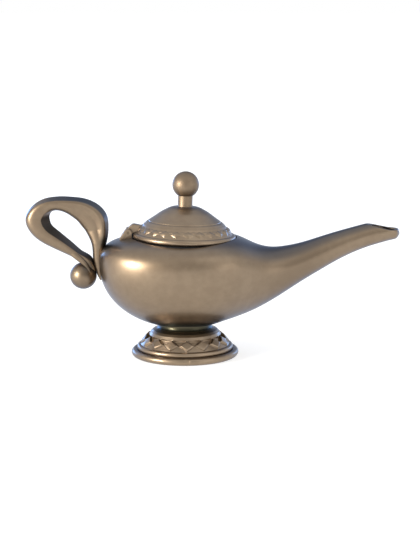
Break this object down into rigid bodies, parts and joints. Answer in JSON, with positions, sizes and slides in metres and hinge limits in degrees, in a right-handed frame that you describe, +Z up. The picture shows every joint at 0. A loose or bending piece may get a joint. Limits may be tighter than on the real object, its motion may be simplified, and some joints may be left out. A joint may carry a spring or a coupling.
{
  "type": "genie oil lamp",
  "caption": "Genie oil lamp with a round hollow bowl, a long upturned spout, a looped handle, a hinged domed lid with a ball knob, and a beaded foot with a band of raised diamonds.",
  "frame": {"origin": "centre of the foot, on the flat underside that the lamp stands on", "axes": "+Z up, +X along the spout and away from the handle, +Y towards the lamp's left side as seen from the handle"},
  "size_m": [0.2789, 0.102, 0.139],
  "materials": {
    "bronze_paint": "satin metallic bronze-gold paint on moulded plastic",
    "black_plastic": "matt moulded plastic",
    "plain_steel": "plain zinc-plated steel"
  },
  "bodies": {
    "lamp": {"bowl_left_shell": "bronze_paint", "bowl_right_shell": "bronze_paint", "mouth_ring": "black_plastic", "hinge_bracket": "bronze_paint", "hinge_rivets": "plain_steel", "hinge_pin": "plain_steel", "foot": "bronze_paint", "foot_screws": "plain_steel", "base_plate": "bronze_paint", "base_screws": "plain_steel", "handle_left_half": "bronze_paint", "handle_right_half": "bronze_paint", "handle_ball": "bronze_paint", "handle_screws": "plain_steel"},
    "lid": {"lid": "bronze_paint", "lid_skirt": "black_plastic", "finial_stem": "bronze_paint", "finial_ball": "bronze_paint", "finial_washer": "plain_steel", "finial_screw": "plain_steel"}
  },
  "joints": [
    {"name": "lid_hinge", "type": "hinge", "parent": "lamp", "child": "lid", "pos_m": [-0.0419, 0, 0.0938], "axis": [0, -1, 0], "range_deg": [0, 95]}
  ]
}
